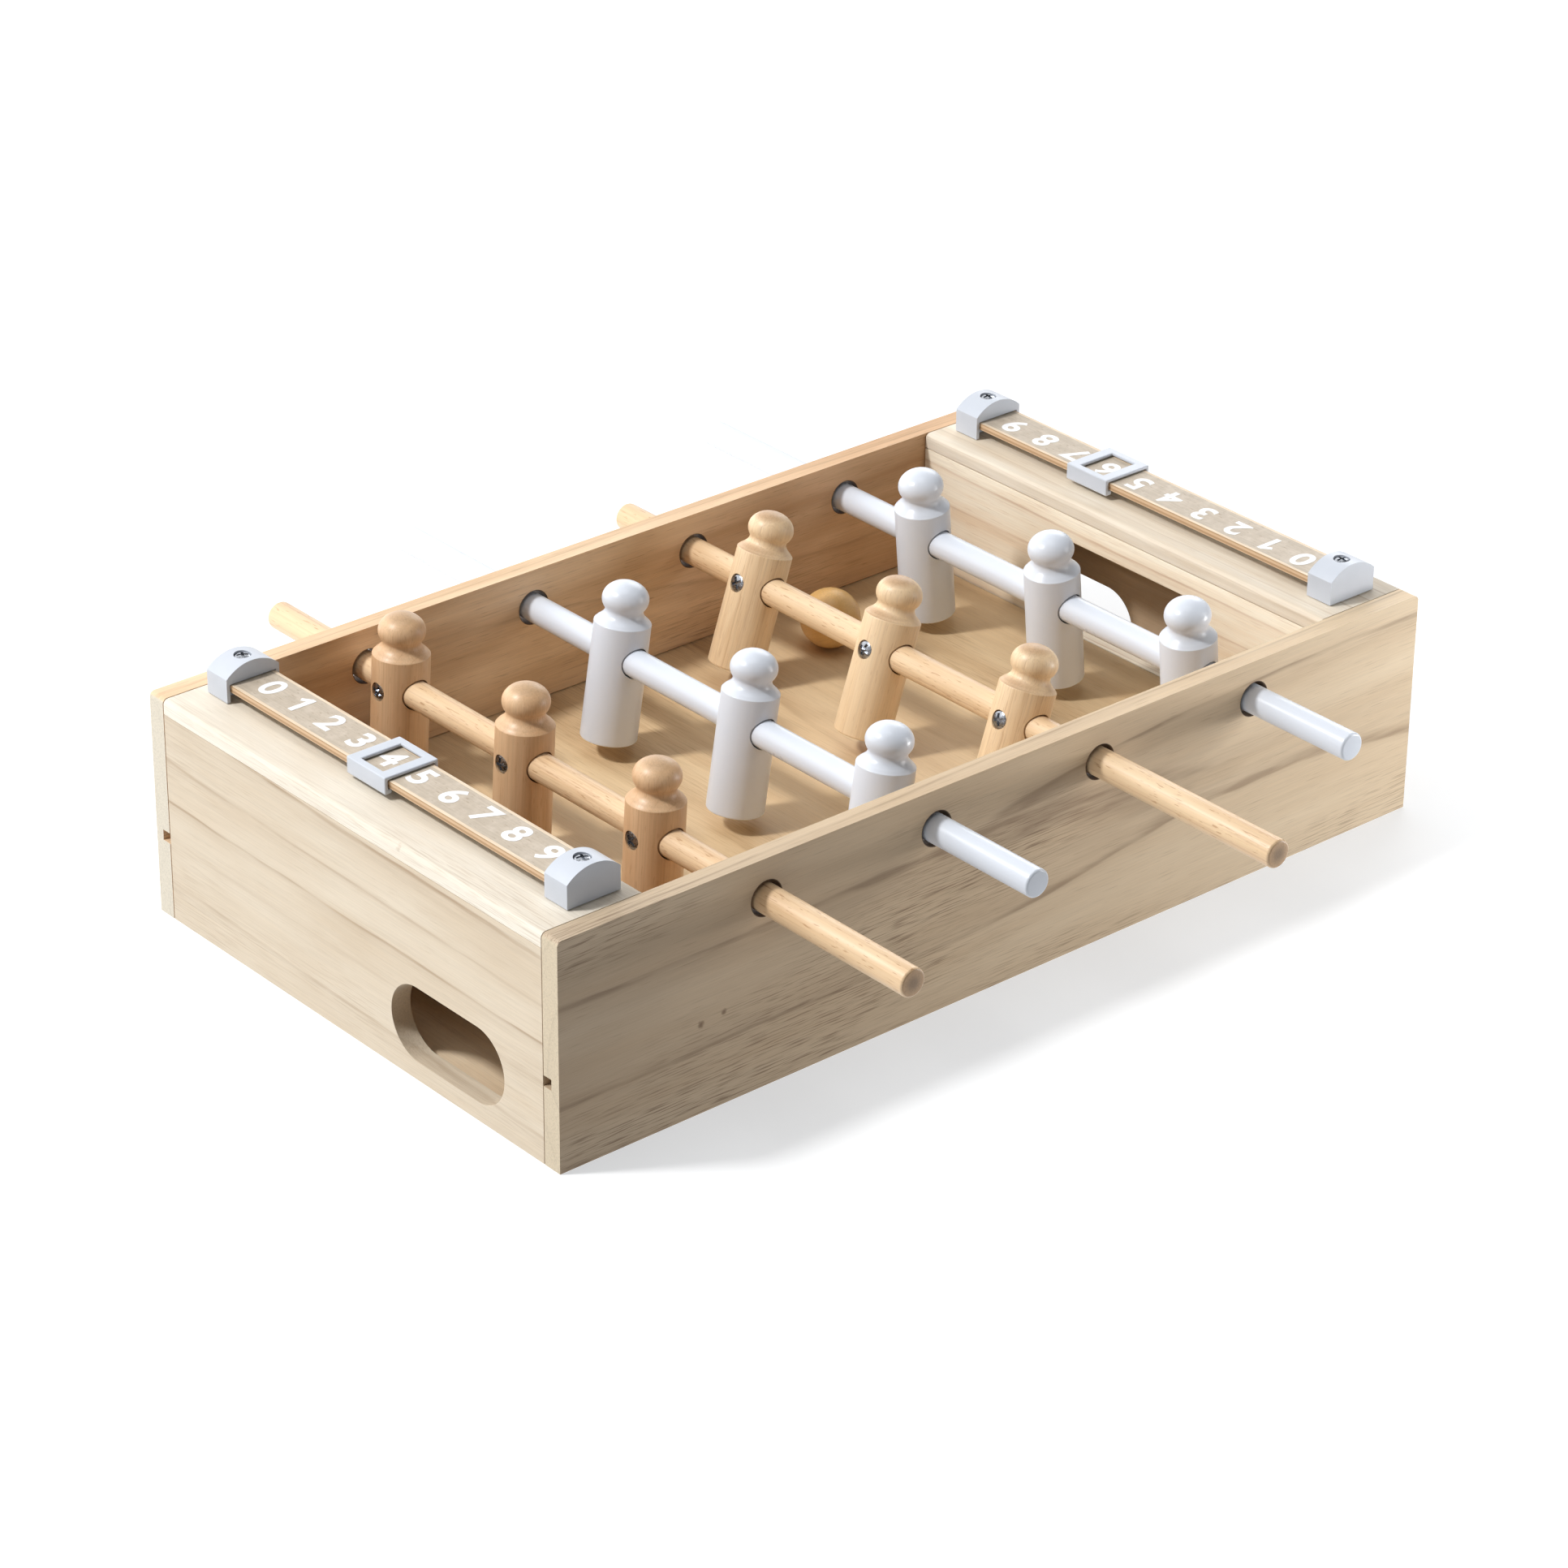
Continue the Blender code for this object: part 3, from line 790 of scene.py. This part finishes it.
def make_side_panel(name, shift, look):
    """A full-length board with rounded top ends, four rod holes and the playfield's groove."""
    low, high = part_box(name)
    side = 1 if low.y > 0 else -1
    mesh = box_mesh(name, low, high, "Y", PLANK_RADIUS, top_only=True)
    board_low, board_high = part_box("playfield_board")
    inner = side * min(abs(low.y), abs(high.y))
    near_y, far_y = sorted((inner - side * PANEL, inner + side * GROOVE_DEPTH))
    groove = box_mesh(
        "groove",
        (2 * low.x, near_y, board_low.z - GAP),
        (2 * high.x, far_y, board_high.z + GAP),
    )
    cutters = [(groove, (0, 0, 0))]
    holes = []
    for number in ROD_NUMBERS:
        axis = centre_of(f"rod_{number}")
        hole = cylinder_mesh("hole", ROD_HOLE_RADIUS, 3 * PANEL, "Y")
        cutters.append((hole, (axis.x, (low.y + high.y) / 2, axis.z)))
        holes.append((axis.x, axis.z))
    material = wood(f"case_{name}", "X", shift, holes=holes, **look)
    obj = piece(name + "_board", carve(mesh, cutters), material, "table", [name])
    soften(obj)


def make_end_panel(name, shift, look):
    """The end board, with the stadium-shaped hole that lets the ball out."""
    low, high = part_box(name)
    end = 1 if low.x > 0 else -1
    exit_y = end * EXIT_Y
    hole = box_mesh(
        "exit",
        (low.x - PANEL, exit_y - EXIT_LENGTH / 2, EXIT_Z - EXIT_HEIGHT / 2),
        (high.x + PANEL, exit_y + EXIT_LENGTH / 2, EXIT_Z + EXIT_HEIGHT / 2),
        "X",
        EXIT_ROUNDNESS * EXIT_HEIGHT,
        segments=24,
    )
    high.z += SEAM_FILL
    mesh = carve(box_mesh(name, low, high), [(hole, (0, 0, 0))])
    material = wood(f"case_{name}", "Y", shift, **look)
    obj = piece(name + "_board", mesh, material, "table", [name])
    soften(obj, SEAM_EASE)


def make_top_plank(name, shift, look):
    low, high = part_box(name)
    mesh = box_mesh(name, low, high, "Y", PLANK_RADIUS, segments=12, top_only=True)
    material = wood(f"case_{name}", "Y", shift, **look)
    obj = piece(name + "_board", mesh, material, "table", [name])
    soften(obj, SEAM_EASE, angle=50)


def dress_cad_boards():
    """The plain boards keep their CAD shape, with eased edges and wood."""
    boards = (
        ("goal_wall_left", "Y", (0.4, 0.31, 0.02), SHADED_LEFT_GOAL),
        ("goal_wall_right", "Y", (0.9, 0.11, 0.05), GOAL),
        ("base_board", "Y", (0.7, 0.0, 0.4), BASE),
        ("playfield_board", "Y", (0.2, 0.6, 0.1), PITCH),
    )
    for name, along, shift, look in boards:
        node = frame["nodes"][name]
        node.data.materials.clear()
        node.data.materials.append(wood(f"wood_{name}", along, shift, **look))
        weld = node.modifiers.new("weld", "WELD")
        weld.merge_threshold = WELD_DISTANCE
        soften(node, CAD_BOARD_EASE, segments=2)


# ---------------------------------------------------------------- rods, players and ball


def player_profile():
    """Crown to foot: a flattened head, a short thick neck, a hollow shoulder, the body."""
    squash = HEAD_HALF_HEIGHT / HEAD_RADIUS
    profile = arc((0, HEAD_Z), HEAD_RADIUS, 90, HEAD_END_DEG, 22, squash)
    profile += [(0.00613, 0.01525), (0.00612, 0.01475), (0.00627, 0.01415), (0.00665, 0.01350)]
    profile += [(0.00725, 0.01285), (0.00795, 0.01225), (0.00855, 0.01178)]
    profile += arc((BODY_RADIUS - BODY_RIM, SHOULDER_Z - BODY_RIM), BODY_RIM, 70, 0, 5)
    profile += arc((BODY_RADIUS - FOOT_RIM, FOOT_Z + FOOT_RIM), FOOT_RIM, 0, -90, 6)
    profile.append((0, FOOT_Z))
    return profile


def player_mesh(rod_radius):
    """One player, bored along Y for the rod and along -X for its screw."""
    mesh = turned_mesh("player", player_profile())
    bore = cylinder_mesh("bore", rod_radius + BORE_CLEARANCE, 4 * BODY_RADIUS, "Y")
    depth = BODY_RADIUS - SCREW_HEAD_HEIGHT
    screw_low, screw_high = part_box("player_screw_1_middle")
    recess_radius = (screw_high.y - screw_low.y) / 2 + GAP / 2
    recess = cylinder_mesh("recess", recess_radius, 2 * BODY_RADIUS, "X", SCREW_SIDES)
    return carve(mesh, [(bore, (0, 0, 0)), (recess, (-depth - BODY_RADIUS, 0, 0))])


def cross_screw_mesh(name, head_radius, length):
    """A pan-head screw, head up with its seat at z 0, with a cross recess."""
    shank = 0.42 * head_radius
    top = SCREW_HEAD_HEIGHT
    shares = (0.25, 0.5, 0.7, 0.85, 0.95)
    dome = [(head_radius * share, top * (1 - 0.55 * share**2.4)) for share in shares]
    rim = [(head_radius, 0.36 * top), (head_radius, 0)]
    stem = [(shank, 0), (shank, shank - length), (0, -length)]
    head = turned_mesh(name, [(0, top)] + dome + rim + stem, SCREW_SIDES)
    wide = 0.70 * head_radius
    narrow = 0.17 * head_radius
    floor = 0.20 * top
    arms = [
        box_mesh("arm", (-x, -y, floor), (x, y, 2 * top))
        for x, y in ((wide, narrow), (narrow, wide))
    ]
    pit = turned_mesh("pit", [(0, 2 * top), (0.34 * head_radius, 2 * top), (0, -floor)], 24)
    return carve(head, [(cutter, (0, 0, 0)) for cutter in arms + [pit]])


def make_rods():
    white = white_gloss("white_enamel_rod", "Y")
    lay = Matrix.Rotation(math.radians(90), 4, "X")
    for number in ROD_NUMBERS:
        low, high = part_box(f"rod_{number}")
        radius = (high.z - low.z) / 2
        half = (high.y - low.y) / 2
        flat = radius - DOWEL_EDGE
        profile = [(0, half)]
        profile += arc((flat, half - DOWEL_EDGE), DOWEL_EDGE, 90, 0, 6)
        profile += arc((flat, DOWEL_EDGE - half), DOWEL_EDGE, 0, -90, 6)
        profile.append((0, -half))
        mesh = turned_mesh("dowel", profile)
        mesh.transform(lay)
        if number in WHITE_RODS:
            material, slot = white, "white_paint"
        else:
            look = {**BEECH, "pith": (0.05, 0.03), "core": 0.9}
            material = wood(f"beech_rod_{number}", "Y", (0.1 * number, 0.2, 0.3), **look)
            slot = "player_wood"
        name = f"rod_{number}_dowel"
        piece(name, mesh, material, name, [f"rod_{number}"], (low + high) / 2)


def peg_woods():
    """Two beech materials for each natural rod, keyed by (rod, 0 or 1), taken in turn."""
    woods = {}
    for number, look in LIT_AND_SHADED_PEGS.items():
        for i in range(2):
            shift = (0.3 * i + 0.1 * number, 0.17 * i, 0.23 * i)
            pith = (0.03 * i - 0.02, 0.05 - 0.02 * i)
            name = f"beech_{number}_{i}"
            woods[number, i] = wood(name, "Z", shift, own_space=True, pith=pith, **look)
    return woods


def make_players():
    """Three players on each rod, with their screws: towards -X, or +X on the white ones."""
    rod_low, rod_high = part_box("rod_1")
    template = player_mesh((rod_high.z - rod_low.z) / 2)
    natural = peg_woods()
    white = white_gloss("white_enamel_player", "Z", own_space=True)
    zinc = dark_zinc("dark_zinc", own_space=True)
    screw_low, screw_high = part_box("player_screw_1_middle")
    head_radius = (screw_high.y - screw_low.y) / 2
    screw_length = screw_high.x - screw_low.x - PLAYER_SCREW_HEAD_ROOM
    screw = cross_screw_mesh("player_screw", head_radius, screw_length)
    for number in ROD_NUMBERS:
        painted = number in WHITE_RODS
        axis = centre_of(f"rod_{number}")
        tilt = Matrix.Rotation(math.radians(PLAYER_TILT_DEG[number]), 4, "Y")
        about = Matrix.Rotation(math.pi if painted else 0.0, 4, "Z")
        away = 1 if painted else -1
        seat = Matrix.Translation((away * (BODY_RADIUS - SCREW_HEAD_HEIGHT), 0, 0))
        for index, where in enumerate(PLACES):
            node = f"player_{number}_{where}"
            place = (axis.x, centre_of(node).y, axis.z)
            body = f"rod_{number}_players"
            name = f"{node}_peg"
            material = white if painted else natural[number, index % 2]
            piece(name, turned(template, tilt @ about, name), material, body, [node], place)
            driven = Matrix.Rotation(0.4 + 0.9 * index + 0.5 * number, 4, "Z")
            lean = tilt @ seat @ Matrix.Rotation(away * math.pi / 2, 4, "Y") @ driven
            name = f"screw_{number}_{where}"
            node = f"player_screw_{number}_{where}"
            piece(name, turned(screw, lean, name), zinc, body, [node], place)


def make_ball():
    low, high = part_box("ball")
    radius = (high.z - low.z) / 2
    profile = arc((0, 0), radius, 90, -90, 41)
    material = wood("ball_wood", "Z", (0.2, 0.1, 0.3), own_space=True, **BALL)
    turn = Matrix.Rotation(math.radians(62), 4, "X") @ Matrix.Rotation(math.radians(20), 4, "Y")
    mesh = turned(turned_mesh("ball", profile), turn, "ball_turned")
    piece("wooden_ball", mesh, material, "ball", ["ball"], (low + high) / 2)


# ---------------------------------------------------------------- scorers


def cap_mesh(node):
    """A cap with an arched top, centred on the origin, with its slot on the -Y side."""
    low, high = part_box(node)
    strip_low, strip_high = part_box("scorer_strip_left")
    half_x = (high.x - low.x) / 2
    half_y = (high.y - low.y) / 2
    top = high.z - low.z
    rise = high.z - CAP_SIDE_TOP
    bend = (half_x**2 + rise**2) / (2 * rise)
    block = box_mesh("cap", (-half_x, -half_y, 0), (half_x, half_y, top + rise))
    arch = cylinder_mesh("arch", bend, 4 * half_y, "Y", ARCH_SIDES)
    block = carve(block, [(arch, (0, 0, top - bend))], "INTERSECT")
    slot = (strip_high.x - strip_low.x) / 2 + GAP
    slot_end = strip_high.y + GAP - abs(low.y + high.y) / 2
    slot_top = strip_high.z + GAP - low.z
    screw_low, screw_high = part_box("scorer_cap_screw_left_rear")
    recess = (screw_high.x - screw_low.x) / 2 + GAP / 2
    seat = top - SCREW_HEAD_HEIGHT - GAP
    cutters = [
        (box_mesh("slot", (-slot, -2 * half_y, -top), (slot, slot_end, slot_top)), (0, 0, 0)),
        (cylinder_mesh("recess", recess, top, "Z", SCREW_SIDES), (0, 0, seat + top / 2)),
    ]
    return carve(block, cutters)


def slider_mesh(node):
    """A clip with a window over the strip and lips under its edges, centred in X and Y."""
    low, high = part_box(node)
    strip_low, strip_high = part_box("scorer_strip_left")
    half_x = (high.x - low.x) / 2
    half_y = (high.y - low.y) / 2
    inner = (strip_high.x - strip_low.x) / 2 + GAP
    lip = inner - SLIDER_LIP
    far = 2 * half_y
    mesh = box_mesh("slider", (-half_x, -half_y, low.z), (half_x, half_y, high.z))
    window_x = SLIDER_WINDOW_X / 2
    window_y = SLIDER_WINDOW_Y / 2
    boxes = (
        ((-inner, -far, strip_low.z - GAP), (inner, far, strip_high.z + GAP)),
        ((-lip, -far, 0.9 * low.z), (lip, far, strip_low.z)),
        ((-window_x, -window_y, strip_high.z), (window_x, window_y, 2 * high.z)),
    )
    return carve(mesh, [(box_mesh("tool", *corners), (0, 0, 0)) for corners in boxes])


def one_mesh(tall):
    """The digit 1 with a flag, which the font's own lacks, as thick as the other digits."""
    outline = ((-0.10, -0.5), (0.10, -0.5), (0.10, 0.5), (-0.06, 0.5), (-0.36, 0.27),
               (-0.26, 0.13), (-0.10, 0.25))
    bm = bmesh.new()
    low, high = (
        [bm.verts.new((x * tall, y * tall, z)) for x, y in outline]
        for z in (-2 * DIGIT_WEIGHT, 2 * DIGIT_WEIGHT)
    )
    bm.faces.new(low)
    bm.faces.new(high)
    for i in range(len(outline)):
        bm.faces.new((low[i - 1], low[i], high[i], high[i - 1]))
    bmesh.ops.recalc_face_normals(bm, faces=bm.faces)
    return mesh_from(bm, "one")


def digit_mesh(digit):
    """One upright digit, centred on the origin and four weights thick."""
    text = bpy.data.curves.new("digit", "FONT")
    text.body = str(digit)
    text.align_x = "CENTER"
    text.align_y = "CENTER"
    text.size = DIGIT_HEIGHT / FONT_DIGIT_HEIGHT
    text.bevel_depth = DIGIT_WEIGHT
    text.bevel_resolution = 1
    text.extrude = DIGIT_WEIGHT
    obj = bpy.data.objects.new("digit", text)
    bpy.context.scene.collection.objects.link(obj)
    mesh = applied(obj)
    foot = min(vertex.co.y for vertex in mesh.vertices)
    head = max(vertex.co.y for vertex in mesh.vertices)
    if digit == 1:
        return one_mesh(head - foot)
    mesh.transform(Matrix.Translation((0, -(foot + head) / 2, 0)))
    return mesh


def digits_mesh(name, top):
    """The digits in a row along -Y, 0 first, their tops towards +X, standing on the strip."""
    joined = bmesh.new()
    flat = Matrix.Diagonal((DIGIT_STRETCH, 1, DIGIT_THICKNESS / (4 * DIGIT_WEIGHT), 1))
    for digit in range(DIGITS):
        mesh = digit_mesh(digit)
        along = ((DIGITS - 1) / 2 - digit) * DIGIT_PITCH
        place = Matrix.Translation((DIGIT_OFFSET, along, top + DIGIT_THICKNESS / 2))
        mesh.transform(place @ Matrix.Rotation(-math.pi / 2, 4, "Z") @ flat)
        joined.from_mesh(mesh)
        bpy.data.meshes.remove(mesh)
    return mesh_from(joined, name)


def make_strip(side, turn, ink):
    """A printed strip, and its digits as one piece."""
    node = f"scorer_strip_{side}"
    low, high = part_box(node)
    middle = (low + high) / 2
    half = high - middle
    material = printed_strip(f"printed_ply_{side}", half.x)
    strip = box_mesh("strip", -half, half)
    obj = piece(f"strip_{side}", strip, material, "table", [node], middle)
    soften(obj, STRIP_EASE, segments=2)
    digits = digits_mesh(f"digits_{side}", half.z - DIGIT_SINK)
    digits.transform(turn)
    place = middle + Vector((0, DIGIT_SHIFT, 0))
    piece(f"digits_{side}", digits, ink, "table", [], place)


def make_scorers():
    """On each top plank a strip with its digits, a slider and two caps with their screws."""
    plastic = moulded_plastic("white_plastic")
    zinc = dark_zinc("cap_screw_zinc")
    ink = digit_ink("digit_ink")
    cap = cap_mesh("scorer_cap_left_rear")
    slider = slider_mesh("scorer_slider_left")
    screw_low, screw_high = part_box("scorer_cap_screw_left_rear")
    head_radius = (screw_high.x - screw_low.x) / 2
    screw_length = screw_high.z - screw_low.z - SCREW_HEAD_HEIGHT
    screw = cross_screw_mesh("cap_screw", head_radius, screw_length)
    as_made = Matrix.Identity(4)
    flipped = Matrix.Rotation(math.pi, 4, "Z")
    for side in SIDES:
        make_strip(side, flipped if side == "right" else as_made, ink)
        node = f"scorer_slider_{side}"
        place = centre_of(node)
        place.z = 0
        mesh = slider.copy()
        obj = piece(f"slider_{side}", mesh, plastic, node, [node], place)
        soften(obj, SLIDER_EASE)
        for where in ("front", "rear"):
            node = f"scorer_cap_{side}_{where}"
            place = centre_of(node)
            place.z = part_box(node)[0].z
            mesh = cap.copy()
            mesh.transform(flipped if where == "front" else as_made)
            name = f"cap_{side}_{where}"
            obj = piece(name, mesh, plastic, "table", [node], place)
            soften(obj, CAP_EASE)
            node = f"scorer_cap_screw_{side}_{where}"
            place = centre_of(node)
            place.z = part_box(node)[1].z - SCREW_HEAD_HEIGHT
            mesh = screw.copy()
            mesh.transform(Matrix.Rotation(0.5 + place.x + 9 * place.y, 4, "Z"))
            piece(f"cap_screw_{side}_{where}", mesh, zinc, "table", [node], place)


# ---------------------------------------------------------------- stage, lights and camera


def make_floor():
    """A white floor that glows a little, so that only the object's shadow shows on it."""
    reach = 12
    bottom = -0.02
    top = -0.0001
    mesh = box_mesh("floor", (-reach, -reach, bottom), (reach, reach, top))
    floor = bpy.data.objects.new("floor", mesh)
    bpy.context.scene.collection.objects.link(floor)
    floor.visible_diffuse = False
    floor.visible_shadow = False
    shader = Shader("white_floor")
    cloud = shader.noise(shader.space, 3.0, detail=2.0)
    colour = shader.ramp(cloud, (0.3, 0.54), (0.7, 0.56))
    shader.finish(colour, 0.8, Emission_Color=(0.934, 0.965, 1, 1), Emission_Strength=0.520)
    mesh.materials.append(shader.material)


def add_area(name, place, size, power, target=(0, 0, 0.03)):
    light = bpy.data.lights.new(name, "AREA")
    light.shape = "DISK"
    light.size = size
    light.energy = power
    obj = bpy.data.objects.new(name, light)
    bpy.context.scene.collection.objects.link(obj)
    obj.location = place
    aim = Vector(target) - Vector(place)
    obj.rotation_euler = aim.to_track_quat("-Z", "Y").to_euler()
    obj.visible_camera = False
    return obj


def make_world():
    """Soft light from -X, +Y and below; the camera sees plain white past the floor."""
    world = bpy.data.worlds.new("studio")
    bpy.context.scene.world = world
    world.use_nodes = True
    sky = Nodes(world.node_tree)
    direction = sky.split(sky.add("TexCoord", "Generated"))
    total = 0.0
    for letter, strength in (("X", -0.421), ("Y", 1.901), ("Z", -0.978)):
        share = sky.math("MULTIPLY", direction[letter], strength)
        total = sky.math("ADD", sky.math("MAXIMUM", share, 0.0), total)
    seen = sky.add("LightPath", "Is Camera Ray")
    background = world.node_tree.nodes["Background"]
    sky.feed(background.inputs["Color"], (1, 1, 1, 1))
    sky.feed(background.inputs["Strength"], sky.math("MAXIMUM", total, seen))


def linked(name, objects, state):
    """A collection that says which objects a light reaches, or which ones shade it."""
    collection = bpy.data.collections.new(name)
    for obj in sorted(objects, key=lambda item: item.name):
        collection.objects.link(obj)
    for entry in collection.collection_objects:
        entry.light_linking.link_state = state
    return collection


def make_lights():
    """The floor has its own copy of the key light, which only the boards shade."""
    make_world()
    place, size = (-1.00, 0.47, 1.33), 0.22
    floor = {bpy.data.objects["floor"]}
    key = add_area("key", place, size, 19.7)
    key.light_linking.receiver_collection = linked("key_receivers", floor, "EXCLUDE")
    floor_key = add_area("floor_key", place, size, 22.7)
    floor_key.light_linking.receiver_collection = linked("floor_key_receivers", floor, "INCLUDE")
    boards = {obj for obj in bpy.data.objects if obj.name.endswith("_board")}
    floor_key.light_linking.blocker_collection = linked("floor_key_blockers", boards, "INCLUDE")
    add_area("top", (0, 0, 1.5), 0.8, 3.15)
    add_area("right_back", (1.0, 0.6, 0.6), 0.6, 2.40)
    add_area("right_front", (0.50, -0.42, 0.24), 0.25, 0.72)
    add_area("low_right", (0.40, -0.36, 0.055), 0.12, 0.94, target=(0.1, -0.1, 0.04))


def make_camera():
    camera = bpy.data.cameras.new("camera")
    camera.sensor_width = 36.0
    camera.lens = 117.9
    camera.clip_start = 0.05
    camera.clip_end = 20.0
    obj = bpy.data.objects.new("camera", camera)
    bpy.context.scene.collection.objects.link(obj)
    place = Vector((-0.9368, -1.0805, 0.7859))
    target = Vector((-0.00984, -0.00571, 0.0320))
    roll = math.radians(0.56)
    forward = (target - place).normalized()
    right = forward.cross(Vector((0, 0, 1))).normalized()
    up = right.cross(forward)
    rolled_right = right * math.cos(roll) + up * math.sin(roll)
    rolled_up = up * math.cos(roll) - right * math.sin(roll)
    turn = Matrix((rolled_right, rolled_up, -forward)).transposed()
    obj.matrix_world = Matrix.Translation(place) @ turn.to_4x4()
    bpy.context.scene.camera = obj


make_camera()
make_floor()
make_side_panel("side_panel_front", (0.35, 0.05, 0.02), FRONT)
make_side_panel("side_panel_rear", (1.15, 0.40, 0.07), REAR)
make_end_panel("end_panel_left", (0.55, 0.02, 0.30), ENDS)
make_end_panel("end_panel_right", (1.45, 0.02, 0.10), RIGHT_END)
make_top_plank("top_plank_left", (0.15, 0.20, 0.15), LEFT_PLANK)
make_top_plank("top_plank_right", (0.95, 0.28, 0.05), RIGHT_PLANK)
dress_cad_boards()
make_rods()
make_players()
make_ball()
make_scorers()
make_lights()

bpy.context.scene.view_settings.view_transform = "Standard"
bpy.context.view_layer.update()
